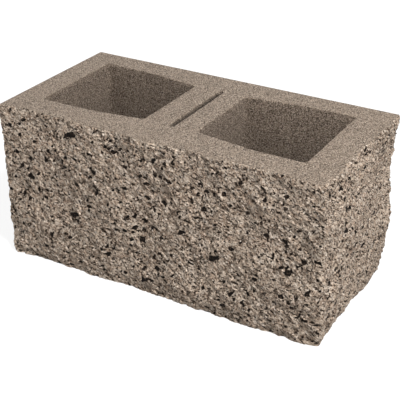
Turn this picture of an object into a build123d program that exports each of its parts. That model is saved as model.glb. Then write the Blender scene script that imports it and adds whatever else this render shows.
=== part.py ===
"""Hollow concrete block with two cores, a split front face and a split end face.

The block stands on its bed. X runs along its length, from the smooth moulded end to the
split end. Y runs from the split front to the smooth back. Z is up. The origin is the
middle of the bottom of the box that just holds the block, crags included.
"""

import os
from math import exp, floor, sin

from build123d import *

# Overall size, out to the highest crags of the split faces, to about a millimetre
block_length = 401.4
block_depth = 197.8
block_height = 193.7

# Moulded edges are a little worn
edge_radius = 1.2

# Concrete left round the two cores, measured in the top face. At the split faces it is
# measured to the mean of the broken face.
smooth_end_shell = 33.4
split_end_shell = 36.6
back_shell = 30.9
front_shell = 35.9
centre_web = 66.6
core_corner_radius = 4.0
core_mouth_radius = 0.8

# The long shells grow thicker towards the centre web
flare_length = 72.0
flare_depth = 9.7
flare_blend_radius = 160.0

# Draft that lets the core moulds draw out: each core wall leans back by this much
core_draft = 1.6

# Splitting groove in the top of the centre web
groove_width = 6.5
groove_depth = 11.0
groove_length = 111.0
groove_floor_radius = 2.9
groove_lip_radius = 1.0

# Split faces: height of the crags over the mean face, and depth of the hollows under it
front_crag = 3.6
front_hollow = 3.4
end_crag = 4.0
end_hollow = 3.4

# Broken stone is made of broad swells, lumps and small lumps: their widths and shares
swell_width = 64.0
lump_width = 31.0
small_lump_width = 19.0
swell_share = 0.40
lump_share = 0.36
small_lump_share = 0.24

# Which of the many like patterns each split face has: swells, lumps and small lumps
front_pattern = (559, 2358, 2265)
end_pattern = (1627, 912, 940)

# The crack ran inwards near the bed, so the foot of each split face falls back
front_foot_setback = 5.5
end_foot_setback = 3.6
foot_height = 13.5

# The bottom corner of the front at the smooth end stayed on
corner_height = 8.0
corner_reach = 13.0
corner_rise = 4.0

# Notch in the foot of the split end, near the front
notch_from_back = 148.0
notch_reach = 9.0
notch_depth = 0.8

# Spacing of the points that each split face is drawn through
crag_spacing = 15.0

# How far the split faces are drawn past the block, and how thick a layer they take off
overrun = 16.0
split_layer = 30.0

# Slack for choosing edges by where they are
touching = 0.01

# Places and sizes that follow from those above
left_x = -block_length / 2
right_x = block_length / 2
front_y = -block_depth / 2
back_y = block_depth / 2
mean_front_y = front_y + front_crag
mean_end_x = right_x - end_crag
core_length = (mean_end_x - left_x - smooth_end_shell - centre_web - split_end_shell) / 2
left_core_start = left_x + smooth_end_shell
left_core_end = left_core_start + core_length
right_core_start = left_core_end + centre_web
right_core_end = right_core_start + core_length
core_back_y = back_y - back_shell
core_front_y = mean_front_y + front_shell
groove_x = (left_x + mean_end_x) / 2
groove_y = (core_front_y + core_back_y) / 2


def random_at(i, j, pattern):
    """The same number from 0 to 1 every time for one whole-number place."""
    value = sin(i * 127.1 + j * 311.7 + pattern * 74.7) * 43758.5453
    return value - floor(value)


def rolling(u, v, cell, pattern):
    """Heights from -1 to 1 given at the corners of square cells and blended in between."""
    i, j = floor(u / cell), floor(v / cell)
    s, t = u / cell - i, v / cell - j
    s, t = s * s * (3 - 2 * s), t * t * (3 - 2 * t)
    low = random_at(i, j, pattern) * (1 - s) + random_at(i + 1, j, pattern) * s
    high = random_at(i, j + 1, pattern) * (1 - s) + random_at(i + 1, j + 1, pattern) * s
    return 2 * (low * (1 - t) + high * t) - 1


def broken_stone(u, v, patterns):
    """Shape of broken stone, made of broad swells, lumps and small lumps."""
    swells = swell_share * rolling(u, v, swell_width, patterns[0])
    lumps = lump_share * rolling(u, v, lump_width, patterns[1])
    small_lumps = small_lump_share * rolling(u, v, small_lump_width, patterns[2])
    return swells + lumps + small_lumps


def bump(u, z, place_u, place_z, reach):
    """A soft round bump that is 1 at its place and fades out past its reach."""
    return exp(-((u - place_u) ** 2 + (z - place_z) ** 2) / reach**2)


def foot(z):
    """How far the foot has fallen back at a height above the bed: 1 at the bed, then less."""
    return exp(-((max(z, 0.0) / foot_height) ** 2))


def front_shape(u, z):
    """Named features of the split front, placed from the smooth end and the bed."""
    corner = corner_rise * bump(u, z, 0.0, corner_height, corner_reach)
    return corner - front_foot_setback * foot(z)


def end_shape(v, z):
    """Named features of the split end, placed from the smooth back and the bed."""
    notch = notch_depth * bump(v, z, notch_from_back, 0.0, notch_reach)
    return -notch - end_foot_setback * foot(z)


def spread(length):
    """Places along one side of a split face, from one overrun to the other."""
    count = round((length + 2 * overrun) / crag_spacing)
    step = (length + 2 * overrun) / count
    return [-overrun + step * n for n in range(count + 1)]


def split_heights(length, patterns, crag, hollow, shape):
    """Heights over the mean face: broken stone from hollow to crag, and the named features."""
    raw = {
        (u, z): broken_stone(u, z, patterns) for u in spread(length) for z in spread(block_height)
    }
    on_face = [
        value for (u, z), value in raw.items() if 0 <= u <= length and 0 <= z <= block_height
    ]
    highest, lowest = max(on_face), min(on_face)
    rows = []
    for u in spread(length):
        row = []
        for z in spread(block_height):
            value = raw[u, z]
            height = value * crag / highest if value > 0 else -value * hollow / lowest
            row.append(min(height + shape(u, z), crag))
        rows.append(row)
    return rows


def waste_slice(plane, broken_edge, far_side):
    """Slice of the stone that splits away, from the broken edge out to the far side."""
    evenly = [n / (len(broken_edge) - 1) for n in range(len(broken_edge))]
    first, last = broken_edge[0], broken_edge[-1]
    with BuildSketch(plane) as waste:
        with BuildLine():
            add(Edge.make_spline([Vector(*point) for point in broken_edge], parameters=evenly))
            Polyline(last, (far_side, last[1]), (far_side, first[1]), first)
        make_face()
    return waste.sketch.faces()[0]


def core_outline(outer_x, web_x, lean):
    """Plan of one core, grown by the lean of its walls, with its narrow side at the web."""
    towards_web = 1 if web_x > outer_x else -1
    outer_x -= towards_web * lean
    web_x += towards_web * lean
    flare_x = web_x - towards_web * flare_length
    back, front = core_back_y + lean, core_front_y - lean
    with BuildSketch() as outline:
        with BuildLine():
            Polyline(
                (outer_x, front),
                (flare_x, front),
                (web_x, front + flare_depth),
                (web_x, back - flare_depth),
                (flare_x, back),
                (outer_x, back),
                close=True,
            )
        make_face()
        knees = outline.vertices().filter_by(lambda point: abs(point.X - flare_x) < touching)
        fillet(knees, flare_blend_radius)
        corners = outline.vertices().filter_by(
            lambda point: min(abs(point.X - outer_x), abs(point.X - web_x)) < touching
        )
        fillet(corners, core_corner_radius)
    return outline.sketch.faces()[0]


with BuildPart() as block:
    # Moulded block before splitting, left long at the front and at the split end
    with Locations((left_x, back_y, 0)):
        Box(
            block_length + overrun,
            block_depth + overrun,
            block_height,
            align=(Align.MIN, Align.MAX, Align.MIN),
        )

    # Worn edges round the smooth end and the smooth back
    outer_edges = block.edges().filter_by(
        lambda edge: edge.center().X < left_x + touching or edge.center().Y > back_y - touching
    )
    fillet(outer_edges, edge_radius)

    # Two cores through the whole height
    for outer_x, web_x in (
        (left_core_start, left_core_end),
        (right_core_end, right_core_start),
    ):
        bottom = core_outline(outer_x, web_x, core_draft)
        top = core_outline(outer_x, web_x, 0.0)
        loft([bottom, top.moved(Location((0, 0, block_height)))], mode=Mode.SUBTRACT)

    # Rounded mouths of the cores, top and bottom
    flat_edges = block.edges().filter_by(
        lambda edge: edge.center().Z < touching or edge.center().Z > block_height - touching
    )
    widened = core_draft + touching
    mouths = flat_edges.filter_by(
        lambda edge: left_core_start - widened < edge.center().X < right_core_end + widened
        and core_front_y - widened < edge.center().Y < core_back_y + widened
    )
    fillet(mouths, core_mouth_radius)

    # Splitting groove with round ends and a round floor
    with BuildSketch(Plane((groove_x, groove_y, block_height))):
        SlotOverall(groove_length, groove_width, rotation=90)
    extrude(amount=-groove_depth, mode=Mode.SUBTRACT)
    groove_floor = block.edges().filter_by(
        lambda edge: abs(edge.center().Z - (block_height - groove_depth)) < touching
    )
    fillet(groove_floor, groove_floor_radius)
    groove_lip = block.edges().filter_by(
        lambda edge: edge.center().Z > block_height - touching
        and abs(edge.center().X - groove_x) < groove_width / 2 + touching
        and abs(edge.center().Y - groove_y) < groove_length / 2 + touching
    )
    fillet(groove_lip, groove_lip_radius)

    # Split front face, cut by the waste in front of it in slices along the length
    front_heights = split_heights(
        block_length, front_pattern, front_crag, front_hollow, front_shape
    )
    front_slices = [
        waste_slice(
            Plane(origin=(left_x + u, 0, 0), x_dir=(0, 1, 0), z_dir=(1, 0, 0)),
            [(mean_front_y - height, z) for z, height in zip(spread(block_height), heights)],
            front_y - split_layer,
        )
        for u, heights in zip(spread(block_length), front_heights)
    ]
    loft(front_slices, mode=Mode.SUBTRACT)

    # Split end face, cut the same way in slices from back to front
    end_heights = split_heights(block_depth, end_pattern, end_crag, end_hollow, end_shape)
    end_slices = [
        waste_slice(
            Plane(origin=(0, back_y - v, 0), x_dir=(1, 0, 0), z_dir=(0, -1, 0)),
            [(mean_end_x + height, z) for z, height in zip(spread(block_height), heights)],
            right_x + split_layer,
        )
        for v, heights in zip(spread(block_depth), end_heights)
    ]
    loft(end_slices, mode=Mode.SUBTRACT)

block.part.label = "block"

os.makedirs("parts", exist_ok=True)
export_step(block.part, "parts/block.step")
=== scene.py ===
"""Looks of the split-faced concrete block: one closed mesh, its concrete, floor, light and camera.

Everything is in metres in the CAD frame: X along the block from the smooth end to the split
end, Y from the split front to the smooth back, Z up, origin at the middle of the bed.
"""

import math
from functools import cached_property

import bpy
import numpy as np
from mathutils import Matrix, Vector
from mathutils.bvhtree import BVHTree
from mathutils.geometry import delaunay_2d_cdt


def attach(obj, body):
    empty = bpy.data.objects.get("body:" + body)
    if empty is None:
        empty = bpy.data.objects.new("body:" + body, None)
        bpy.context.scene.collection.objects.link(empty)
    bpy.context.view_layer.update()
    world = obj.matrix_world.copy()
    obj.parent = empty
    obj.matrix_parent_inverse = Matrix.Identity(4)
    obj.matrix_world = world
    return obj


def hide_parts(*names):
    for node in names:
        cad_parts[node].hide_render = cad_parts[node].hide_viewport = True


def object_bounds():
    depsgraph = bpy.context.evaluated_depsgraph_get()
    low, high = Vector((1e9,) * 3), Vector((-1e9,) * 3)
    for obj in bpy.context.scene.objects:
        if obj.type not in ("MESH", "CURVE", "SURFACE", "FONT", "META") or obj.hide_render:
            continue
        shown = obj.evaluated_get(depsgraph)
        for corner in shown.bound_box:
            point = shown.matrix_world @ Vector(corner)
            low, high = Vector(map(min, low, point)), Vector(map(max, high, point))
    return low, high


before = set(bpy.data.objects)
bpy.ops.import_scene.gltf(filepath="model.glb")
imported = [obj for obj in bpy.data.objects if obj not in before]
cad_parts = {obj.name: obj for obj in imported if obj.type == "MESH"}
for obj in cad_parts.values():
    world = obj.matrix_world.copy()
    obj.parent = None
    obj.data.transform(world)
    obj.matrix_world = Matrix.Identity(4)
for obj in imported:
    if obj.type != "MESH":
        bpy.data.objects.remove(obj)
cad_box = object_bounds()

MM = 0.001
SEED = 20611

# The block's own sizes, as in the CAD model
LEFT_X = cad_box[0][0]
BACK_Y = cad_box[1][1]
TOP_Z = cad_box[1][2]
EDGE_RADIUS = 1.2 * MM
SMOOTH_END_SHELL = 33.4 * MM
CORE_LENGTH = 130.4 * MM
CENTRE_WEB = 66.6 * MM
BACK_SHELL = 30.9 * MM
CORE_DEPTH = 127.4 * MM
CORE_CORNER_RADIUS = 4.0 * MM
CORE_MOUTH_RADIUS = 0.8 * MM
CORE_DRAFT = 1.6 * MM
FLARE_LENGTH = 72.0 * MM
FLARE_DEPTH = 9.7 * MM
FLARE_BLEND_RADIUS = 160.0 * MM
GROOVE_X = -2.0 * MM
GROOVE_WIDTH = 6.5 * MM
GROOVE_DEPTH = 11.0 * MM
GROOVE_LENGTH = 111.0 * MM
GROOVE_FLOOR_RADIUS = 2.9 * MM
GROOVE_LIP_RADIUS = 1.0 * MM

CORE_BACK_Y = BACK_Y - BACK_SHELL
CORE_FRONT_Y = CORE_BACK_Y - CORE_DEPTH
LEFT_CORE = (LEFT_X + SMOOTH_END_SHELL, LEFT_X + SMOOTH_END_SHELL + CORE_LENGTH)
RIGHT_CORE = (LEFT_CORE[1] + CENTRE_WEB, LEFT_CORE[1] + CENTRE_WEB + CORE_LENGTH)

# How far apart the points of the mesh lie, and how many steps its straight and round runs have
SPLIT_PITCH = 1.3 * MM
FACE_PITCH = 6.0 * MM
CORE_PITCH = 5.0 * MM
CORE_ROW_HEIGHT = 7.0 * MM
ARC_STEP = math.radians(18)
BACK_STEPS = 51
SMOOTH_END_STEPS = 26
EDGE_ARC_STEPS = 3
GROOVE_SIDE_STEPS = 21
GROOVE_END_STEPS = 6
GROOVE_FLOOR_ANGLES = (30, 60, 90)

# A rounded edge has one row between its two ends: how far down and in, as shares of its radius
EDGE_ROW_DOWN = 0.3
EDGE_ROW_IN = 0.29

# Edges sharper than this between two faces of the mesh are shaded as sharp
SHARP_ANGLE = math.radians(32)

# The four looks of the concrete, as places in the mesh's list of materials
SPLIT, MOULDED, CORE, GROOVE = range(4)

# Chip and cavity values, in millimetres, of a point that has neither
NO_CHIP = (-9.0, 0.0)


# Random patterns

# Layered noise: how many layers, and how much finer each one is than the last
NOISE_LAYERS = 2
NOISE_FINER = 1.9

# Facets: the border of each cell that has no facet's middle, as a share, and how much they tilt
FACET_MARGIN = 0.1
FACET_TILT = 1.3


def hash_grid(i, j, k):
    """Numbers from 0 to 1 for places and patterns, the same in every run."""
    value = np.sin(i * 127.1 + j * 311.7 + k * 74.7 + SEED * 0.013) * 43758.5453
    return value - np.floor(value)


def eased(t):
    """0 to 1 with a soft start and a soft end."""
    return t * t * t * (t * (t * 6 - 15) + 10)


def value_noise(u, v, cell, pattern):
    """Smooth heights from -1 to 1 on square cells."""
    a, b = u / cell, v / cell
    i, j = np.floor(a), np.floor(b)
    s, t = eased(a - i), eased(b - j)
    low = hash_grid(i, j, pattern) * (1 - s) + hash_grid(i + 1, j, pattern) * s
    high = hash_grid(i, j + 1, pattern) * (1 - s) + hash_grid(i + 1, j + 1, pattern) * s
    return 2 * (low * (1 - t) + high * t) - 1


def turned(u, v, angle):
    """Coordinates turned by an angle, so that no two patterns share a grid direction."""
    c, s = math.cos(angle), math.sin(angle)
    return u * c - v * s, u * s + v * c


def creases(u, v, cell, pattern):
    """Heights from -1 to 1 with sharp ridges."""
    return 1 - 2 * np.abs(value_noise(u, v, cell, pattern))


def layered(heights, u, v, cell, pattern, angle, turn, step, fade):
    """Several sizes of one kind of heights added together, each turned from the last."""
    total, share, whole = 0.0, 1.0, 0.0
    for n in range(NOISE_LAYERS):
        a, b = turned(u, v, angle + turn * n)
        total = total + share * heights(a, b, cell / NOISE_FINER**n, pattern + step * n)
        whole += share
        share *= fade
    return total / whole


def fractal(u, v, cell, pattern):
    """Smooth heights of several sizes."""
    return layered(value_noise, u, v, cell, pattern, angle=0.4, turn=0.9, step=17, fade=0.55)


def ridged(u, v, cell, pattern):
    """Sharp ridges of several sizes, like broken grains with creases between them."""
    return layered(creases, u, v, cell, pattern, angle=0.2, turn=1.1, step=13, fade=0.6)


def facets(u, v, cell, pattern):
    """Broken pieces of stone: each cell is a plane with its own height and tilt."""
    i0, j0 = np.floor(u / cell), np.floor(v / cell)
    spread = 1 - 2 * FACET_MARGIN
    best = np.full(u.shape, np.inf)
    height = np.zeros(u.shape)
    for di in (-1, 0, 1):
        for dj in (-1, 0, 1):
            i, j = i0 + di, j0 + dj
            cu = (i + FACET_MARGIN + spread * hash_grid(i, j, pattern)) * cell
            cv = (j + FACET_MARGIN + spread * hash_grid(i, j, pattern + 1)) * cell
            away = (u - cu) ** 2 + (v - cv) ** 2
            tilt_u = hash_grid(i, j, pattern + 2) - 0.5
            tilt_v = hash_grid(i, j, pattern + 3) - 0.5
            level = hash_grid(i, j, pattern + 4) - 0.5
            plane = level + FACET_TILT * (tilt_u * (u - cu) + tilt_v * (v - cv)) / cell
            nearer = away < best
            best = np.where(nearer, away, best)
            height = np.where(nearer, plane, height)
    return height


# Outlines in plan

def run_steps(corners):
    """Into how many steps each side of a core's outline is divided."""
    return [
        max(1, round(math.dist(corners[n], corners[(n + 1) % len(corners)]) / CORE_PITCH))
        for n in range(len(corners))
    ]


def arc(middle, radius, angles):
    """Points in (x, y) on a circle, at the given angles."""
    return [middle + radius * np.array([math.cos(angle), math.sin(angle)]) for angle in angles]


def rounded(corners, radii, steps_along):
    """A closed outline of points in (x, y) with its corners rounded, counterclockwise."""
    arcs = []
    count = len(corners)
    for n in range(count):
        here = np.array(corners[n])
        back = np.array(corners[n - 1]) - here
        ahead = np.array(corners[(n + 1) % count]) - here
        back, ahead = back / np.linalg.norm(back), ahead / np.linalg.norm(ahead)
        half = math.acos(np.clip(back @ ahead, -1, 1)) / 2
        reach = radii[n] / math.tan(half)
        start, end = here + back * reach, here + ahead * reach
        halfway = (back + ahead) / np.linalg.norm(back + ahead)
        middle = here + halfway * radii[n] / math.sin(half)
        first = math.atan2(*(start - middle)[::-1])
        last = math.atan2(*(end - middle)[::-1])
        turn = (last - first + math.pi) % (2 * math.pi) - math.pi
        steps = max(2, round(abs(turn) / ARC_STEP))
        arcs.append(arc(middle, radii[n], [first + turn * k / steps for k in range(steps + 1)]))
    points = []
    for n in range(count):
        points += arcs[n]
        run = arcs[(n + 1) % count][0] - arcs[n][-1]
        steps = steps_along[n]
        points += [arcs[n][-1] + run * k / steps for k in range(1, steps)]
    return np.array(points)


def core_outline(outer_x, web_x, lean):
    """Corners in plan of one core, grown by the lean of its walls, and their radii."""
    side = 1 if web_x > outer_x else -1
    outer_x, web_x = outer_x - side * lean, web_x + side * lean
    flare_x = web_x - side * FLARE_LENGTH
    back, front = CORE_BACK_Y + lean, CORE_FRONT_Y - lean
    corners = [
        (outer_x, front), (flare_x, front), (web_x, front + FLARE_DEPTH),
        (web_x, back - FLARE_DEPTH), (flare_x, back), (outer_x, back),
    ]
    small, wide = CORE_CORNER_RADIUS, FLARE_BLEND_RADIUS
    radii = [small, wide, small, small, wide, small]
    if side < 0:
        corners, radii = corners[::-1], radii[::-1]
    return corners, radii


def groove_outline(radius, middle_y):
    """Plan of the groove with ends of the given radius, counterclockwise."""
    straight = (GROOVE_LENGTH - GROOVE_WIDTH) / 2
    turns = np.linspace(0, math.pi, GROOVE_END_STEPS + 1)
    down = np.linspace(straight, -straight, GROOVE_SIDE_STEPS + 1)[1:-1]
    plan = arc(np.array([GROOVE_X, middle_y + straight]), radius, turns)
    plan += [(GROOVE_X - radius, middle_y + s) for s in down]
    plan += arc(np.array([GROOVE_X, middle_y - straight]), radius, turns + math.pi)
    plan += [(GROOVE_X + radius, middle_y - s) for s in down]
    return np.array(plan)


def outward(plan):
    """Unit directions that point out of a counterclockwise outline."""
    along = np.roll(plan, -1, 0) - np.roll(plan, 1, 0)
    along /= np.linalg.norm(along, axis=1)[:, None]
    return np.stack([along[:, 1], -along[:, 0]], 1)


def waved(plan, across, up, height, cell, pattern):
    """An outline moved out and in by an uneven wave, read at places across and up the wall."""
    wave = height * fractal(across, np.full(len(plan), up), cell, pattern)
    return plan + outward(plan) * wave[:, None]


def in_outline(x, y, outline, margin):
    """Which points lie inside a closed outline.

    A margin over 0 leaves out those that near one of its corners, and a margin under 0 adds
    those that near one from outside.
    """
    inside = np.zeros(len(x), bool)
    x0, y0 = outline[:, 0], outline[:, 1]
    x1, y1 = np.roll(x0, -1), np.roll(y0, -1)
    near = np.full(len(x), np.inf)
    for a, b, c, d in zip(x0, y0, x1, y1):
        if b != d:
            inside ^= ((b > y) != (d > y)) & (x < (c - a) * (y - b) / (d - b) + a)
        if margin:
            near = np.minimum(near, (x - a) ** 2 + (y - b) ** 2)
    if margin > 0:
        inside &= near > margin**2
    if margin < 0:
        inside |= near < margin**2
    return inside


# Gathering the mesh

# Points inside a flat face: how far they stray off their grid, as a share of its pitch, and how
# near they come to its border
FACE_STRAY = 0.6
BORDER_GAP = 0.35 * FACE_PITCH

# Waves of a flat face, as (height, width)
FACE_WAVES = (0.12 * MM, 34 * MM)

# Points of a flat face that are nearer to each other than this count as one
SAME_PLACE = 1e-9


def loose_grid(low, high):
    """Points in (x, y) that stray off a grid over a box."""
    x, y = np.meshgrid(
        np.arange(low[0] + FACE_PITCH / 2, high[0], FACE_PITCH),
        np.arange(low[1] + FACE_PITCH / 2, high[1], FACE_PITCH),
    )
    x, y = x.ravel(), y.ravel()
    row = np.round(y / FACE_PITCH)
    x = x + (hash_grid(np.round(x / FACE_PITCH), row, 5) - 0.5) * FACE_PITCH * FACE_STRAY
    y = y + (hash_grid(np.round(x / FACE_PITCH), row, 6) - 0.5) * FACE_PITCH * FACE_STRAY
    return x, y


def plain(points):
    """Points with the chip and cavity values of concrete that has neither."""
    points = np.asarray(points, float)
    values = np.broadcast_to(NO_CHIP, (*points.shape[:-1], len(NO_CHIP)))
    return np.concatenate([points, values], -1)


class Gather:
    """A mesh in the making: points as (x, y, z, chip, cavity), faces and the look of each face."""

    def __init__(self):
        self.points, self.faces, self.looks = [], [], []
        self.count = 0

    def add(self, points):
        """Adds points and returns their numbers in the same shape."""
        numbers = self.count + np.arange(points[..., 0].size)
        self.count += len(numbers)
        self.points.append(points.reshape(-1, points.shape[-1]))
        return numbers.reshape(points.shape[:-1])

    def quads(self, numbers, looks):
        """Faces over a grid of point numbers, whose last column joins its first."""
        right = np.roll(numbers, -1, 1)
        made = np.stack([numbers[:-1], right[:-1], right[1:], numbers[1:]], -1)
        self.faces += made.reshape(-1, 4).tolist()
        self.looks += np.broadcast_to(looks, numbers[:-1].shape).ravel().tolist()

    def wall(self, plans, levels, look, moulded):
        """A wall through plans at levels from the top down, with some moulded bands."""
        grid = np.array([np.column_stack([p, np.full(len(p), z)]) for p, z in zip(plans, levels)])
        numbers = self.add(plain(grid))
        looks = np.full(len(levels) - 1, look)
        looks[moulded] = MOULDED
        self.quads(numbers, looks[:, None])
        return numbers

    def cap(self, outer, holes, level, look, up):
        """A flat face with holes. Its border is points already there, and its inside is new."""
        gathered = np.concatenate(self.points)
        loops = [outer, *holes]
        plans = [gathered[loop][:, :2] for loop in loops]
        x, y = loose_grid(plans[0].min(0), plans[0].max(0))
        inside = in_outline(x, y, plans[0], BORDER_GAP)
        for plan in plans[1:]:
            inside &= ~in_outline(x, y, plan, -BORDER_GAP)
        x, y = x[inside], y[inside]
        height, cell = FACE_WAVES
        lift = height * fractal(x, y, cell, 301) - height
        new = self.add(plain(np.stack([x, y, level + (lift if up else -lift)], 1)))
        numbers = np.concatenate([*loops, new])
        flat = np.concatenate([*plans, np.stack([x, y], 1)])
        edges, start = [], 0
        for loop in loops:
            size = len(loop)
            edges += [(start + k, start + (k + 1) % size) for k in range(size)]
            start += size
        cut = delaunay_2d_cdt([Vector(point) for point in flat], edges, [], 0, SAME_PLACE)
        triangles, origins = np.array(cut[2]), np.array([origin[0] for origin in cut[3]])
        corners = origins[triangles]
        middle_x, middle_y = flat[corners].mean(1).T
        keep = in_outline(middle_x, middle_y, plans[0], 0)
        for plan in plans[1:]:
            keep &= ~in_outline(middle_x, middle_y, plan, 0)
        made = numbers[corners[keep]]
        self.faces += (made if up else made[:, ::-1]).tolist()
        self.looks += [look] * len(made)


# Black stone chips seen in the split faces, as (along, up, length, width, angle), in
# millimetres and degrees: along from the smooth end on the front and from the front on the end
FRONT_CHIPS = [
    (96, 177, 15, 6, 15), (96, 78, 15, 6, 15), (186, 150, 8, 4, 35), (277, 77, 14, 6, 25),
    (153, 170, 7, 5, -20), (206, 157, 6, 5, 0), (288, 155, 6, 5, 30), (335, 162, 6, 4, 40),
    (315, 141, 5, 5, 0), (265, 132, 8, 4, -20), (88, 137, 8, 4, 0), (38, 134, 6, 5, -30),
    (20, 139, 6, 4, -15), (26, 124, 8, 4, 15), (37, 111, 10, 7, -25), (130, 115, 9, 3, 45),
    (216, 125, 7, 6, -30), (166, 130, 6, 4, 20), (338, 122, 7, 5, -30), (358, 120, 6, 5, 0),
    (380, 104, 8, 5, 10), (298, 95, 7, 4, 10), (238, 97, 9, 5, 20), (190, 96, 9, 4, -20),
    (118, 95, 9, 4, 5), (177, 84, 9, 4, 30), (188, 73, 9, 6, -20), (210, 61, 9, 3, -5),
    (363, 86, 8, 7, 0), (386, 69, 7, 4, -20), (357, 57, 7, 5, 0), (299, 40, 9, 3.5, 50),
    (141, 40, 9, 3, 45), (63, 45, 9, 3, 45), (205, 40, 7, 5, 10), (288, 20, 7, 4, 0),
    (188, 20, 9, 5, 0), (130, 20, 6, 3, 5), (52, 25, 6, 4, 0), (83, 25, 5, 4, -30),
    (161, 20, 5, 4, -20), (320, 19, 5, 4, -20), (383, 34, 8, 3, -10), (32, 180, 7, 3, 10),
    (32, 82, 7, 3, 10), (13, 170, 6, 6, 0), (150, 182, 5, 4, 0), (60, 137, 6, 4, 10),
    (128, 140, 7, 4, -25), (58, 99, 7, 3, 0), (168, 156, 7, 3, 0), (277, 152, 5, 3, 60),
    (358, 172, 6, 4, 40), (204, 171, 5, 3, 10), (216, 167, 3, 5, 0), (346, 102, 3, 5, 0),
    (249, 61, 7, 3, -10), (312, 33, 5, 4, 20), (329, 73, 5, 3, -30), (20, 45, 6, 3, -25),
]
END_CHIPS = [
    (13, 177, 9, 4, -40), (35, 175, 9, 5, 15), (57, 140, 12, 5, -35), (97, 172, 7, 5, -30),
    (63, 114, 11, 4, -35), (84, 103, 8, 4, -20), (93, 83, 9, 5, 0), (140, 125, 6, 4, -35),
    (112, 94, 8, 3, -25), (116, 68, 11, 6, -15), (64, 41, 8, 5, -25), (23, 72, 8, 5, -30),
    (12, 84, 7, 4, -40), (46, 74, 7, 4, 30), (105, 20, 6, 5, 0), (36, 40, 6, 3, 0),
    (85, 20, 7, 3, -40), (66, 138, 8, 3, -30), (150, 93, 7, 5, 30), (162, 55, 9, 5, -20),
]

# Each split face: first pattern of its grid, of its relief and of its wear, its listed chips, and
# how many more small chips and pits it has
FRONT_FACE = {
    "grid": 900, "relief": 40, "wear": 60, "chips": FRONT_CHIPS, "small_chips": 520, "pits": 300,
}
END_FACE = {
    "grid": 902, "relief": 140, "wear": 72, "chips": END_CHIPS, "small_chips": 260, "pits": 150,
}

# Small chips: shortest length and how much longer they get, in millimetres, least and greatest
# width as shares of the length, and mean angle and its spread in degrees
SMALL_CHIP_LENGTH = 2.6
SMALL_CHIP_EXTRA = 4.2
SMALL_CHIP_WIDTHS = (0.3, 0.55)
SMALL_CHIP_ANGLES = (15, 35)

# How unevenly the sides of a chip turn and how far out they lie, as shares
CHIP_TURN = 0.25
CHIP_SIDES = (0.65, 1.05)

# Pits: smallest radius and how much larger they get, in millimetres, and depth over radius
PIT_RADIUS = 0.9
PIT_EXTRA = 1.6
PIT_DEPTH = 0.9

# Broken grain is drawn out along this direction of the break
BREAK_ANGLE = math.radians(41)

# Layers of facets and of creases, as (height, width over length, width, pattern), in millimetres
FACET_LAYERS = ((1.4, 0.75, 9.0, 20), (1.1, 0.5, 4.4, 30), (0.7, 0.4, 2.6, 35))
CREASE_LAYERS = ((0.6, 0.4, 5.0, 40),)

# Waves that bend the edges of the facets, as (height, width)
FACET_BENDS = ((1.6 * MM, 9 * MM), (0.8 * MM, 3.5 * MM))

# Height of the sandy roughness, and height and width of the soft swells, in millimetres
SAND_HEIGHT = 0.25
SWELL_HEIGHT = 0.45
SWELL_WIDTH = 24.0

# Share by which chips are flattened
CHIP_FLATTENED = 0.75

# How deep chips are sunk, how wide their rim is, and how far the whole relief is raised over the
# CAD face, in millimetres
CHIP_SUNK = 0.3
CHIP_RIM = 0.6
RELIEF_RAISED = 0.6

# How deep and how far in the edges of the split faces are worn
TOP_WEAR = (1.2 * MM, 2.6 * MM)
BED_WEAR = (0.2 * MM, 2.5 * MM)
SMOOTH_SIDE_WEAR = (0.7 * MM, 2.2 * MM)
ARRIS_WEAR = (1.0 * MM, 2.5 * MM)

# Along an edge, this share of the wear is even, and waves of (share, width) are added to it
EVEN_WEAR = 0.55
WEAR_WAVES = ((0.45, 11 * MM), (0.35, 3.7 * MM))

# Share of the rims' inset by which the relief falls back too
RIM_FALL = 0.6

# How far the points of a split face stray off their grid, as a share of its pitch, and the width
# of the waves that they stray by
SPLIT_STRAY = 0.33
SPLIT_STRAY_CELL = 2.1 * SPLIT_PITCH

# Length over which the reliefs of the two split faces are drawn to each other
CORNER_BLEND = 9.0 * MM

# Search for the arris between the split faces: first guess, margin off the arris, and rounds
ARRIS_GUESS_Y = -0.09
ARRIS_MARGIN = 0.6 * MM
ARRIS_ROUNDS = 4

# Rays onto the CAD block start this far from its middle
RAY_START = 0.5

# Points within this distance of the back's plane are waved with it
BACK_MARGIN = 2 * MM

# Waves of the walls, as (height, width)
BACK_WAVES = (0.25 * MM, 45 * MM)
CORE_WAVES = (0.35 * MM, 13 * MM)
GROOVE_WAVES = (0.25 * MM, 8 * MM)

# The waves of the core walls are longer upwards than across
CORE_WAVE_RISE = 0.6


def chip_field(u, v, face, width, height, rng):
    """How far inside a black chip each point is, in metres. Outside all chips it is negative."""
    chips = [
        (along * MM, up * MM, length * MM, thick * MM, math.radians(angle))
        for along, up, length, thick, angle in face["chips"]
    ]
    for _ in range(face["small_chips"]):
        length = (SMALL_CHIP_LENGTH + SMALL_CHIP_EXTRA * rng.random() ** 2.0) * MM
        chips.append((
            rng.random() * width, rng.random() * height, length,
            length * rng.uniform(*SMALL_CHIP_WIDTHS), math.radians(rng.normal(*SMALL_CHIP_ANGLES)),
        ))
    field = np.full(u.shape, NO_CHIP[0] * MM)
    for along, up, length, thick, angle in chips:
        sides = 4 + int(rng.integers(2))
        turns = np.arange(sides) + rng.uniform(-CHIP_TURN, CHIP_TURN, sides)
        turns = turns * 2 * math.pi / sides
        supports = np.hypot(length / 2 * np.cos(turns), thick / 2 * np.sin(turns))
        supports *= rng.uniform(*CHIP_SIDES, sides)
        near = np.hypot(u - along, v - up) < length
        if not near.any():
            continue
        a, b = turned(u[near] - along, v[near] - up, -angle)
        outside = np.max(
            [a * math.cos(t) + b * math.sin(t) - d for t, d in zip(turns, supports)], axis=0
        )
        field[near] = np.maximum(field[near], -outside)
    return field


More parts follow.
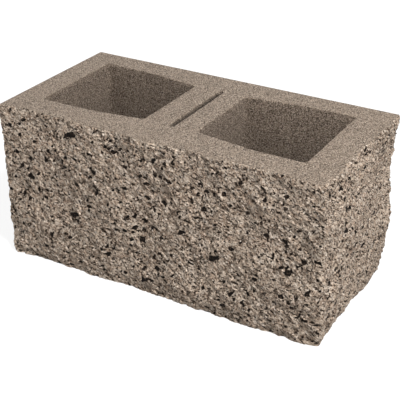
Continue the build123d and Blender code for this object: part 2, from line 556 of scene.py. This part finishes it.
def pits(u, v, count, width, height, rng):
    """Small round holes left by bubbles and lost grains, as depths."""
    depth = np.zeros(u.shape)
    for _ in range(count):
        along, up = rng.random() * width, rng.random() * height
        radius = (PIT_RADIUS + PIT_EXTRA * rng.random() ** 2) * MM
        near = np.hypot(u - along, v - up)
        depth = np.maximum(depth, np.sqrt(np.maximum(0, radius**2 - near**2)) * PIT_DEPTH)
    return depth


def worn(distance, along, pattern, depth, reach):
    """How much is worn off near an edge of a split face."""
    uneven = EVEN_WEAR
    for n, (share, cell) in enumerate(WEAR_WAVES):
        uneven = uneven + share * value_noise(along, along * 0, cell, pattern + n)
    return depth * np.maximum(uneven, 0) * np.exp(-distance / reach)


def bent(along, u, v, pattern):
    """Coordinates with waves added, so that the facets have bent edges."""
    for n, (height, cell) in enumerate(FACET_BENDS):
        along = along + height * value_noise(u, v, cell, pattern + n)
    return along


def split_relief(u, up, to_smooth, to_arris, inset, face, rng):
    """Fine shape of a split face: its height, and its chip and cavity values in millimetres.

    It takes each point's place along and up the face, and how far it is from the smooth side
    and from the arris.
    """
    v = np.clip(up, EDGE_RADIUS, TOP_Z - EDGE_RADIUS)
    width, height = u.max(), v.max()
    pattern = face["relief"]
    along, across = turned(u, v, BREAK_ANGLE)
    along = bent(along, u, v, pattern)
    across = bent(across, u, v, pattern + 2)
    smooth = SWELL_HEIGHT * fractal(u, v, SWELL_WIDTH * MM, pattern + 10)
    broken = 0
    for shape, layers in ((facets, FACET_LAYERS), (ridged, CREASE_LAYERS)):
        for rise, narrowing, cell, step in layers:
            broken = broken + rise * shape(narrowing * along, across, cell * MM, pattern + step)
    broken = broken + SAND_HEIGHT * (hash_grid(u / MM, v / MM, pattern + 45) - 0.5)
    chip = chip_field(u, v, face, width, height, rng)
    inside = np.clip(chip / (CHIP_RIM * MM) + 0.5, 0, 1)
    broken = broken * (1 - CHIP_FLATTENED * inside) - CHIP_SUNK * inside
    broken -= pits(u, v, face["pits"], width, height, rng) / MM * (1 - inside)
    fine = (smooth + broken + RELIEF_RAISED) * MM
    cavity = fine - smooth * MM
    fine -= RIM_FALL * inset[:, None]
    edges = (
        (TOP_Z - v, u, TOP_WEAR), (v, u, BED_WEAR),
        (to_smooth, v, SMOOTH_SIDE_WEAR), (to_arris, v, ARRIS_WEAR),
    )
    for n, (distance, place, (depth, reach)) in enumerate(edges):
        fine -= worn(distance, place, face["wear"] + 3 * n, depth, reach)
    return fine, chip / MM, cavity / MM


# The block, drawn over the CAD solid

class CadBlock:
    """The CAD block, for finding where its split faces are."""

    def __init__(self, node):
        mesh = node.data
        mesh.calc_loop_triangles()
        self.tree = BVHTree.FromPolygons(
            [v.co for v in mesh.vertices], [t.vertices for t in mesh.loop_triangles]
        )

    def distances(self, x, y, z, direction):
        """How far the block is from each place, looking along a direction."""
        origins = np.stack([x, y, z], -1).reshape(-1, 3)
        found = [self.tree.ray_cast(Vector(origin), Vector(direction))[3] for origin in origins]
        return np.array(found, float).reshape(x.shape)

    def front_at(self, x, z):
        """Y of the split front. Places in the worn rims count as just inside them."""
        z = np.clip(z, EDGE_RADIUS, TOP_Z - EDGE_RADIUS)
        return self.distances(x, np.full_like(x, -RAY_START), z, (0, 1, 0)) - RAY_START

    def end_at(self, y, z):
        """X of the split end. Places in the worn rims count as just inside them."""
        z = np.clip(z, EDGE_RADIUS, TOP_Z - EDGE_RADIUS)
        return RAY_START - self.distances(np.full_like(y, RAY_START), y, z, (-1, 0, 0))

    def arris(self, rows):
        """X and Y of the arris between the two split faces, at each row."""
        y = np.full_like(rows, ARRIS_GUESS_Y)
        for _ in range(ARRIS_ROUNDS):
            x = self.end_at(y + ARRIS_MARGIN, rows)
            y = self.front_at(x - ARRIS_MARGIN, rows)
        return x, y


def rows_and_insets():
    """Heights of the rows of the sides, and how far the rounded rims draw each row in."""
    rim = EDGE_RADIUS
    steps = round((TOP_Z - 2 * rim) / SPLIT_PITCH)
    rows = np.concatenate([
        [0, EDGE_ROW_DOWN * rim],
        np.linspace(rim, TOP_Z - rim, steps + 1),
        [TOP_Z - EDGE_ROW_DOWN * rim, TOP_Z],
    ])
    to_edge = np.minimum(rows, TOP_Z - rows)
    drawn_in = rim - np.sqrt(np.maximum(0, rim**2 - (rim - np.minimum(to_edge, rim)) ** 2))
    return rows, np.where(to_edge < rim, drawn_in, 0)


def split_grid(rows, start, finish, columns, pattern):
    """Places along and up a split face. Those away from its borders stray off their grid."""
    share = np.linspace(0, 1, columns + 1)[None, :]
    along = start[:, None] + share * (finish - start)[:, None]
    up = np.repeat(rows[:, None], columns + 1, 1)
    stray = np.full_like(along, SPLIT_STRAY * SPLIT_PITCH)
    stray[:3] = stray[-3:] = 0
    stray[:, :2] = stray[:, -2:] = 0
    along = along + stray * value_noise(along, up, SPLIT_STRAY_CELL, pattern)
    up = up + stray * value_noise(along, up, SPLIT_STRAY_CELL, pattern + 1)
    return along, up


def split_faces(rows, inset):
    """Points of the split front and the split end, which share the arris."""
    rng = np.random.default_rng(SEED)
    cad = CadBlock(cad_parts["block"])
    arris_x, arris_y = cad.arris(rows)

    columns = round((arris_x.mean() - LEFT_X) / SPLIT_PITCH)
    x, z = split_grid(rows, LEFT_X + inset, arris_x, columns, FRONT_FACE["grid"])
    y = cad.front_at(np.maximum(x, LEFT_X + EDGE_RADIUS), z)
    y[:, -1] = arris_y
    u, front_to_arris = x - LEFT_X, arris_x[:, None] - x
    fine, chip, cavity = split_relief(u, z, u, front_to_arris, inset, FRONT_FACE, rng)
    front = np.stack([x, y - fine, z, chip, cavity], -1)

    columns = round((BACK_Y - arris_y.mean()) / SPLIT_PITCH)
    y, z = split_grid(rows, arris_y, BACK_Y - inset, columns, END_FACE["grid"])
    x = cad.end_at(np.minimum(y, BACK_Y - EDGE_RADIUS), z)
    x[:, 0] = arris_x
    u = end_to_arris = y - arris_y[:, None]
    fine, chip, cavity = split_relief(u, z, BACK_Y - y, end_to_arris, inset, END_FACE, rng)
    end = np.stack([x + fine, y, z, chip, cavity], -1)

    # Near the arris, each face is drawn along to the other's relief
    along_x = end[:, 0, 0] - arris_x
    along_y = front[:, -1, 1] - arris_y
    front[:, :, 0] += along_x[:, None] * np.clip(1 - front_to_arris / CORNER_BLEND, 0, 1) ** 2
    end[:, :, 1] += along_y[:, None] * np.clip(1 - end_to_arris / CORNER_BLEND, 0, 1) ** 2
    return front, end


def smooth_sides(rows, inset, split_xs, split_ys):
    """Points of the smooth back and the smooth end, as one strip round the back corner.

    It starts beside the split end, at an x for each row, and ends beside the split front, at a
    y for each row.
    """
    radius = EDGE_RADIUS
    along_back = np.linspace(1, 0, BACK_STEPS + 1)[1:]
    turns = np.linspace(0, math.pi / 2, EDGE_ARC_STEPS + 1)[1:]
    along_end = np.linspace(0, 1, SMOOTH_END_STEPS + 1)[1:-1]
    strip = []
    for level, pull, split_x, split_y in zip(rows, inset, split_xs, split_ys):
        back, left = BACK_Y - pull, LEFT_X + pull
        run = [(left + radius + (split_x - left - radius) * s, back) for s in along_back]
        run += [
            (left + radius - radius * math.sin(a), back - radius + radius * math.cos(a))
            for a in turns
        ]
        run += [(left, back - radius + (split_y - back + radius) * s) for s in along_end]
        strip.append([(x, y, level) for x, y in run])
    strip = np.array(strip)
    height, cell = BACK_WAVES
    wave = height * fractal(strip[..., 0] + strip[..., 1], strip[..., 2], cell, 210)
    strip[..., 1] += np.where(strip[..., 1] > BACK_Y - BACK_MARGIN, wave, 0)
    return plain(strip)


def add_core(block, outer_x, web_x):
    """Adds the wall of one core, and returns the point numbers of its top and bottom mouths."""
    corners, radii = core_outline(outer_x, web_x, 0)
    steps_along = run_steps(corners)
    upper = rounded(corners, radii, steps_along)
    corners, radii = core_outline(outer_x, web_x, CORE_DRAFT)
    lower = rounded(corners, radii, steps_along)
    mouth = CORE_MOUTH_RADIUS
    deep = np.linspace(TOP_Z - mouth, mouth, round(TOP_Z / CORE_ROW_HEIGHT))
    levels = [TOP_Z, TOP_Z - EDGE_ROW_DOWN * mouth, *deep, EDGE_ROW_DOWN * mouth, 0.0]
    opened = [1.0, EDGE_ROW_IN, *deep * 0, EDGE_ROW_IN, 1.0]
    plans = []
    for level, share in zip(levels, opened):
        lean = 1 - level / TOP_Z
        plan = upper * (1 - lean) + lower * lean
        plan = plan + outward(plan) * mouth * share
        if 0 < level < TOP_Z:
            plan = waved(plan, plan.sum(1), level * CORE_WAVE_RISE, *CORE_WAVES, 330)
        plans.append(plan)
    numbers = block.wall(plans, levels, CORE, [0, 1, -2, -1])
    return numbers[0], numbers[-1]


def add_groove(block):
    """Adds the wall and floor of the splitting groove, and returns its lip's point numbers."""
    lip, floor = GROOVE_LIP_RADIUS, GROOVE_FLOOR_RADIUS
    floor_z = TOP_Z - GROOVE_DEPTH
    levels = [TOP_Z, TOP_Z - EDGE_ROW_DOWN * lip, TOP_Z - lip, TOP_Z - 0.5 * GROOVE_DEPTH]
    widened = [lip, EDGE_ROW_IN * lip, 0.0, 0.0]
    for angle in (0, *GROOVE_FLOOR_ANGLES):
        turn = math.radians(angle)
        levels.append(floor_z + floor * (1 - math.sin(turn)))
        widened.append(-floor * (1 - math.cos(turn)))
    plans = []
    for level, grown in zip(levels, widened):
        plan = groove_outline(GROOVE_WIDTH / 2 + grown, (CORE_FRONT_Y + CORE_BACK_Y) / 2)
        if level < TOP_Z:
            plan = waved(plan, plan[:, 1], level, *GROOVE_WAVES, 350)
        plans.append(plan)
    numbers = block.wall(plans, levels, GROOVE, [0, 1])
    block.cap(numbers[-1], [], floor_z, GROOVE, True)
    return numbers[0]


def make_block():
    """The visible block as one closed mesh."""
    rows, inset = rows_and_insets()
    front, end = split_faces(rows, inset)
    strip = smooth_sides(rows, inset, end[:, -1, 0], front[:, 0, 1])
    block = Gather()
    ring = block.add(np.concatenate([front, end[:, 1:], strip], 1))
    looks = np.full(ring.shape[1], SPLIT)
    looks[front.shape[1] + end.shape[1] - 2:] = MOULDED
    block.quads(ring, looks[None, :])
    left_top, left_bottom = add_core(block, *LEFT_CORE)
    right_top, right_bottom = add_core(block, *RIGHT_CORE[::-1])
    lip = add_groove(block)
    block.cap(ring[-1], [left_top, right_top, lip], TOP_Z, MOULDED, True)
    block.cap(ring[0], [left_bottom, right_bottom], 0.0, MOULDED, False)
    return block


def to_object(block, name, materials):
    """Makes the mesh object, with its chip values and its cavity values, which place painted
    shade, as attributes of its points.
    """
    points = np.concatenate(block.points)
    mesh = bpy.data.meshes.new(name)
    mesh.from_pydata(points[:, :3].tolist(), [], block.faces)
    for label, values in (("chip", points[:, 3]), ("cavity", points[:, 4])):
        attribute = mesh.attributes.new(label, "FLOAT", "POINT")
        attribute.data.foreach_set("value", values.astype(np.float32))
    for material in materials:
        mesh.materials.append(material)
    mesh.polygons.foreach_set("material_index", np.array(block.looks, dtype=np.int32))
    mesh.polygons.foreach_set("use_smooth", np.ones(len(mesh.polygons), dtype=bool))
    mesh.validate()
    mesh.update()
    mesh.set_sharp_from_angle(angle=SHARP_ANGLE)
    made = bpy.data.objects.new(name, mesh)
    bpy.context.scene.collection.objects.link(made)
    return made


# Shader nodes

class Nodes:
    """Short names for making shader nodes in the tree of a material or of the world."""

    def __init__(self, owner):
        self.owner = owner
        owner.use_nodes = True
        self.tree = owner.node_tree
        self.tree.nodes.clear()

    def new(self, kind, **settings):
        """A new node with its own settings."""
        node = self.tree.nodes.new(kind)
        for key, value in settings.items():
            setattr(node, key, value)
        return node

    def link(self, source, target):
        """Links one socket to another."""
        self.tree.links.new(source, target)

    def set(self, socket, value):
        """Links a socket to a socket, or gives it a plain value."""
        if isinstance(value, bpy.types.NodeSocket):
            self.link(value, socket)
        else:
            socket.default_value = value

    @cached_property
    def place(self):
        """Object coordinates."""
        return self.new("ShaderNodeTexCoord").outputs["Object"]

    def height(self):
        """Height over the bed."""
        node = self.new("ShaderNodeSeparateXYZ")
        self.link(self.place, node.inputs[0])
        return node.outputs["Z"]

    def mapped(self, vector, change, value):
        """Coordinates turned or scaled."""
        node = self.new("ShaderNodeMapping")
        self.link(vector, node.inputs["Vector"])
        node.inputs[change].default_value = value
        return node.outputs["Vector"]

    def upwards(self, share):
        """Object coordinates drawn out upwards, so that patterns become upright streaks."""
        return self.mapped(self.place, "Scale", (1, 1, share))

    def along(self, direction, share):
        """Object coordinates drawn out along a direction, so that patterns become streaks."""
        turn = direction.rotation_difference(Vector((1, 0, 0))).to_euler()
        return self.mapped(self.mapped(self.place, "Rotation", turn), "Scale", (share, 1, 1))

    def tilted(self):
        """Object coordinates turned so that no flat face lies along the grid of the noise."""
        return self.mapped(self.place, "Rotation", (0.5, 0.35, 0.2))

    def noise(self, size, detail=2.0, roughness=0.5, vector=None, distortion=0.0):
        """Noise whose features are about the given size in metres."""
        node = self.new("ShaderNodeTexNoise")
        self.link(vector or self.place, node.inputs["Vector"])
        node.inputs["Scale"].default_value = 1 / size
        node.inputs["Detail"].default_value = detail
        node.inputs["Roughness"].default_value = roughness
        node.inputs["Distortion"].default_value = distortion
        return node.outputs["Fac"]

    def cells(self, size, vector=None, output="Distance"):
        """Random cells: how far each place is from its cell's middle, or the cell's colour."""
        node = self.new("ShaderNodeTexVoronoi")
        self.link(vector or self.place, node.inputs["Vector"])
        node.inputs["Scale"].default_value = 1 / size
        return node.outputs[output]

    def cell_numbers(self, size):
        """Three random numbers for each cell."""
        node = self.new("ShaderNodeSeparateColor")
        self.link(self.cells(size, output="Color"), node.inputs[0])
        return node.outputs

    def ramp(self, value, *stops):
        """A colour ramp through stops of (place, colour)."""
        node = self.new("ShaderNodeValToRGB")
        self.link(value, node.inputs["Fac"])
        elements = node.color_ramp.elements
        while len(elements) < len(stops):
            elements.new(0.5)
        for element, (place, colour) in zip(elements, stops):
            element.position = place
            element.color = (*colour, 1)
        return node.outputs["Color"]

    def rise(self, value, start, finish):
        """0 up to the start, 1 from the finish on. The finish may be the lower one."""
        node = self.new("ShaderNodeMapRange")
        node.interpolation_type = "SMOOTHSTEP"
        self.set(node.inputs["Value"], value)
        node.inputs["From Min"].default_value = start
        node.inputs["From Max"].default_value = finish
        return node.outputs["Result"]

    def math(self, operation, first, second):
        """Two sockets or plain numbers put together."""
        node = self.new("ShaderNodeMath", operation=operation)
        self.set(node.inputs[0], first)
        self.set(node.inputs[1], second)
        return node.outputs[0]

    def tint(self, colour, where, share, other):
        """A colour drawn towards another where a value is 1, by a share of the way."""
        node = self.new("ShaderNodeMix", data_type="RGBA")
        self.link(self.math("MULTIPLY", where, share), node.inputs["Factor"])
        first, second = [socket for socket in node.inputs if socket.type == "RGBA"]
        self.link(colour, first)
        self.set(second, other if isinstance(other, bpy.types.NodeSocket) else (*other, 1))
        return next(socket for socket in node.outputs if socket.type == "RGBA")

    def point_value(self, name):
        """One of the values that the mesh has at each point."""
        return self.new("ShaderNodeAttribute", attribute_name=name).outputs["Fac"]

    def bump(self, height, distance, under=None):
        """A bumped normal, on top of another where one is given."""
        node = self.new("ShaderNodeBump")
        self.link(height, node.inputs["Height"])
        node.inputs["Distance"].default_value = distance
        node.inputs["Strength"].default_value = 1.0
        if under is not None:
            self.link(under, node.inputs["Normal"])
        return node.outputs["Normal"]

    def concrete(self, colour, normal, roughness=0.93, specular=0.25):
        """Ends the tree of a material as dull stone, and returns the material."""
        shader = self.new("ShaderNodeBsdfPrincipled")
        self.link(colour, shader.inputs["Base Color"])
        self.set(shader.inputs["Roughness"], roughness)
        shader.inputs["Specular IOR Level"].default_value = specular
        self.link(normal, shader.inputs["Normal"])
        output = self.new("ShaderNodeOutputMaterial")
        self.link(shader.outputs["BSDF"], output.inputs["Surface"])
        return self.owner

    def source(self, kind, level, **strength):
        """A grey shader, such as a diffuse one or a glow, with the strength that it takes."""
        node = self.new(kind)
        node.inputs["Color"].default_value = (level, level, level, 1)
        for name, value in strength.items():
            self.set(node.inputs[name], value)
        return node.outputs[0]

    def lit_and_seen(self, lit_by, seen, output):
        """Ends the tree: one shader lights the block, the other is what is seen of it.

        What is seen counts for the camera, for reflections and through glass.
        """
        path = self.new("ShaderNodeLightPath")
        direct = self.math("MAXIMUM", path.outputs["Is Camera Ray"], path.outputs["Is Glossy Ray"])
        direct = self.math("MAXIMUM", direct, path.outputs["Is Transmission Ray"])
        choose = self.new("ShaderNodeMixShader")
        for socket, value in zip(choose.inputs, (direct, lit_by, seen)):
            self.link(value, socket)
        self.link(choose.outputs[0], self.new(output).inputs["Surface"])


def linear(red, green, blue):
    """A colour given as screen values from 0 to 255, as light."""
    return tuple(
        c / 255 / 12.92 if c / 255 <= 0.04045 else ((c / 255 + 0.055) / 1.055) ** 2.4
        for c in (red, green, blue)
    )


# Concretes

def split_concrete():
    """Broken concrete: brown mortar, pale and dark grains, black stone chips, and painted shade in
    crevices and in the hollows of the mesh.
    """
    n = Nodes(bpy.data.materials.new("split_concrete"))
    streak = n.along(Vector((0.6, 0.6, -0.53)), 0.24)

    # Mortar in small patches, with broad patches a little darker
    colour = n.ramp(
        n.noise(7 * MM, 3, 0.6, distortion=0.3),
        (0.32, linear(176, 152, 132)), (0.48, linear(199, 178, 158)),
        (0.60, linear(211, 192, 173)), (0.74, linear(228, 211, 195)),
    )
    colour = n.tint(colour, n.rise(n.noise(30 * MM), 0.35, 0.65), 0.22, linear(96, 82, 68))

    # Fine grain drawn out along the break, dark and pale
    grain = n.noise(1.8 * MM, 2, 0.7, streak)
    colour = n.tint(colour, n.rise(grain, 0.53, 0.62), 0.88, linear(44, 31, 21))
    colour = n.tint(colour, n.rise(grain, 0.45, 0.36), 0.5, linear(240, 228, 215))

    # Single grains of sand, a few pale and some dark
    grain_edge = n.rise(n.cells(3.0 * MM), 0.45, 0.30)
    numbers = n.cell_numbers(3.0 * MM)
    pale = n.math("MULTIPLY", n.rise(numbers[0], 0.93, 0.95), grain_edge)
    dark = n.math("MULTIPLY", n.rise(numbers[1], 0.88, 0.91), grain_edge)
    colour = n.tint(colour, pale, 0.7, linear(232, 220, 206))
    colour = n.tint(colour, dark, 0.9, linear(44, 31, 22))

    # Painted shade: dark streaks that stand for the shade in crevices between grains, and a darker
    # colour in the hollows of the mesh
    crevice_shade = n.rise(n.noise(2.4 * MM, 2, 0.6, streak, 0.4), 0.41, 0.38)
    colour = n.tint(colour, crevice_shade, 0.95, linear(27, 17, 10))
    # Painted shade in the hollows: darker where the cavity value is lower
    hollow_shade = n.rise(n.point_value("cavity"), 0.1, -1.3)
    colour = n.tint(colour, hollow_shade, 0.6, linear(52, 38, 28))

    # Black chips with ragged edges
    ragged = n.math("MULTIPLY", n.math("SUBTRACT", n.noise(1.5 * MM), 0.28), 1.8)
    chip = n.rise(n.math("ADD", n.point_value("chip"), ragged), 0.0, 0.25)
    black = n.ramp(
        n.noise(1.8 * MM),
        (0.40, linear(11, 6, 3)), (0.58, linear(27, 18, 12)), (0.70, linear(92, 76, 63)),
    )
    colour = n.tint(colour, chip, 1.0, black)
    roughness = n.math("SUBTRACT", 0.95, n.math("MULTIPLY", chip, 0.15))

    domes = n.math("SUBTRACT", 1.0, n.cells(2.0 * MM, streak))
    normal = n.bump(n.noise(1.5 * MM, 1, 0.6, streak), 3.0 * MM)
    normal = n.bump(domes, 1.3 * MM, normal)
    normal = n.bump(grain, 5.5 * MM, normal)
    return n.concrete(colour, normal, roughness, 0.12)


def moulded_concrete():
    """Smooth moulded concrete: an even fine grain, and on the sides the marks of the mould."""
    n = Nodes(bpy.data.materials.new("moulded_concrete"))
    tilt = n.tilted()

    # Mortar, fine grain and small pits
    patches = n.noise(16 * MM, 3, 0.6, tilt)
    colour = n.ramp(patches, (0.3, linear(143, 127, 111)), (0.7, linear(149, 133, 117)))
    grain = n.noise(1.4 * MM, 1, 0.5, tilt)
    colour = n.tint(colour, n.rise(grain, 0.52, 0.65), 0.8, linear(62, 48, 38))
    colour = n.tint(colour, n.rise(grain, 0.46, 0.33), 0.45, linear(214, 199, 183))
    pit = n.rise(n.cells(7 * MM, tilt), 0.17, 0.10)
    colour = n.tint(colour, pit, 0.7, linear(70, 58, 49))

    # On the sides only: upright drag marks, pale patches, and voids in some of the cells
    below_top = n.rise(n.height(), TOP_Z - 1 * MM, TOP_Z - 3 * MM)
    drag = n.rise(n.noise(7 * MM, 3, 0.6, n.upwards(0.1)), 0.40, 0.66)
    colour = n.tint(colour, n.math("MULTIPLY", drag, below_top), 0.28, linear(86, 72, 60))
    patch = n.rise(n.noise(55 * MM), 0.40, 0.62)
    colour = n.tint(colour, n.math("MULTIPLY", patch, below_top), 0.16, linear(212, 200, 186))
    uneven = n.math("ADD", n.cells(12 * MM), n.math("MULTIPLY", grain, 0.12))
    some = n.rise(n.cell_numbers(12 * MM)[0], 0.60, 0.62)
    void = n.math("MULTIPLY", n.math("MULTIPLY", n.rise(uneven, 0.20, 0.15), some), below_top)
    colour = n.tint(colour, void, 0.85, linear(52, 41, 32))

    normal = n.bump(n.noise(1.3 * MM, 0, 0.5, tilt), 2.6 * MM)
    normal = n.bump(grain, 1.8 * MM, normal)
    normal = n.bump(n.math("SUBTRACT", 1.0, void), 1.5 * MM, normal)
    return n.concrete(colour, normal)


def drawn_concrete(name, shade_depth, shade_share):
    """Walls that a mould was drawn along: rougher, streaked upwards, and darker further down with
    painted shade.
    """
    n = Nodes(bpy.data.materials.new(name))
    streaks = n.noise(3.2 * MM, 3, 0.6, n.upwards(0.5))
    colour = n.ramp(
        streaks,
        (0.32, linear(123, 107, 93)), (0.5, linear(140, 124, 109)), (0.7, linear(150, 134, 118)),
    )
    grain = n.noise(1.35 * MM, 1, 0.6, n.tilted())
    colour = n.tint(colour, n.rise(grain, 0.51, 0.63), 0.8, linear(44, 34, 27))
    colour = n.tint(colour, n.rise(grain, 0.46, 0.34), 0.5, linear(206, 190, 174))
    # Painted shade: the walls are drawn towards black further down from the top, as shade falls
    # deeper in the cores and the groove
    deep = n.rise(n.height(), TOP_Z, TOP_Z - shade_depth)
    colour = n.tint(colour, deep, shade_share, (0, 0, 0))
    normal = n.bump(grain, 4.8 * MM, n.bump(streaks, 2.2 * MM))
    return n.concrete(colour, normal)


# Floor, light and camera

# Half the side of the floor, and how much light it throws back at the block
FLOOR_REACH = 6.0
FLOOR_LIGHT = 0.55

# What is seen of the floor: a share of the light on it, and a glow that rises between two
# distances from the middle
FLOOR_SHADED = 0.2
FLOOR_GLOW = 0.85
FLOOR_GLOW_RISE = 0.12
FLOOR_GLOW_FROM = 0.5
FLOOR_GLOW_TO = 1.6

# Strength of the sky as light
SKY_LIGHT = 0.29

# Square lamps as (name, place, side in metres, power in watts), aimed at the middle of the block
LAMPS = (
    ("key", (1.33, -0.80, 1.95), 0.32, 82.0),
    ("fill", (-0.8, -2.0, 1.0), 1.2, 6.0),
    ("back", (-1.6, 2.0, 0.55), 1.2, 42.0),
)
LAMP_TARGET = (0, 0, 0.1)

# The photograph's camera: place, angles in degrees, and focal length and width in pixels
CAMERA_PLACE = (0.50395, -0.84515, 0.6191)
CAMERA_YAW = 30.636
CAMERA_PITCH = 28.711
CAMERA_ROLL = -0.306
FOCAL_LENGTH = 968.3
PICTURE_WIDTH = 400

# Width of the sensor in millimetres, and the furthest that the camera sees
SENSOR_WIDTH = 36
CLIP_END = 20


def make_floor():
    """A white floor that keeps the block's soft shadow."""
    mesh = bpy.data.meshes.new("floor")
    corners = ((-1, -1, 0), (1, -1, 0), (1, 1, 0), (-1, 1, 0))
    mesh.from_pydata([Vector(corner) * FLOOR_REACH for corner in corners], [], [(0, 1, 2, 3)])
    floor = bpy.data.objects.new("floor", mesh)
    bpy.context.scene.collection.objects.link(floor)
    n = Nodes(bpy.data.materials.new("floor_white"))
    away = n.new("ShaderNodeVectorMath", operation="LENGTH")
    n.link(n.place, away.inputs[0])
    further = n.rise(away.outputs["Value"], FLOOR_GLOW_FROM, FLOOR_GLOW_TO)
    strength = n.math("ADD", n.math("MULTIPLY", further, FLOOR_GLOW_RISE), FLOOR_GLOW)
    seen = n.new("ShaderNodeAddShader")
    n.link(n.source("ShaderNodeBsdfDiffuse", FLOOR_SHADED), seen.inputs[0])
    n.link(n.source("ShaderNodeEmission", 1, Strength=strength), seen.inputs[1])
    lit_by = n.source("ShaderNodeBsdfDiffuse", FLOOR_LIGHT)
    n.lit_and_seen(lit_by, seen.outputs[0], "ShaderNodeOutputMaterial")
    mesh.materials.append(n.owner)


def make_light():
    """An even pale sky that looks white, a key lamp, and two large soft lamps for other sides."""
    world = bpy.data.worlds.new("studio")
    bpy.context.scene.world = world
    n = Nodes(world)
    soft = n.source("ShaderNodeBackground", 1, Strength=SKY_LIGHT)
    white = n.source("ShaderNodeBackground", 1, Strength=1.0)
    n.lit_and_seen(soft, white, "ShaderNodeOutputWorld")
    for name, place, size, power in LAMPS:
        lamp = bpy.data.lights.new(name, "AREA")
        lamp.shape = "SQUARE"
        lamp.size = size
        lamp.energy = power
        holder = bpy.data.objects.new(name, lamp)
        holder.location = place
        aim = Vector(LAMP_TARGET) - Vector(place)
        holder.rotation_euler = aim.to_track_quat("-Z", "Y").to_euler()
        bpy.context.scene.collection.objects.link(holder)


def make_camera():
    """The photograph's own viewpoint, found from the block's straight edges."""
    yaw, pitch, roll = (math.radians(angle) for angle in (CAMERA_YAW, CAMERA_PITCH, CAMERA_ROLL))
    level = math.cos(pitch)
    back = Vector((math.sin(yaw) * level, -math.cos(yaw) * level, math.sin(pitch)))
    right = Vector((0, 0, 1)).cross(back).normalized()
    up = back.cross(right)
    rolled_right = right * math.cos(roll) + up * math.sin(roll)
    rolled_up = up * math.cos(roll) - right * math.sin(roll)
    data = bpy.data.cameras.new("camera")
    data.sensor_width = SENSOR_WIDTH
    data.lens = FOCAL_LENGTH * SENSOR_WIDTH / PICTURE_WIDTH
    data.clip_end = CLIP_END
    camera = bpy.data.objects.new("camera", data)
    turn = Matrix((rolled_right, rolled_up, back)).transposed().to_4x4()
    camera.matrix_world = Matrix.Translation(CAMERA_PLACE) @ turn
    bpy.context.scene.collection.objects.link(camera)
    bpy.context.scene.camera = camera


block = to_object(make_block(), "concrete_block", [
    split_concrete(),
    moulded_concrete(),
    # Core and groove walls: how far down their painted shade reaches, and how dark it gets
    drawn_concrete("core_concrete", 110 * MM, 0.4),
    drawn_concrete("groove_concrete", 7 * MM, 0.7),
])
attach(block, "root")
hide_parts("block")
make_floor()
make_light()
make_camera()
bpy.context.scene.view_settings.view_transform = "Standard"
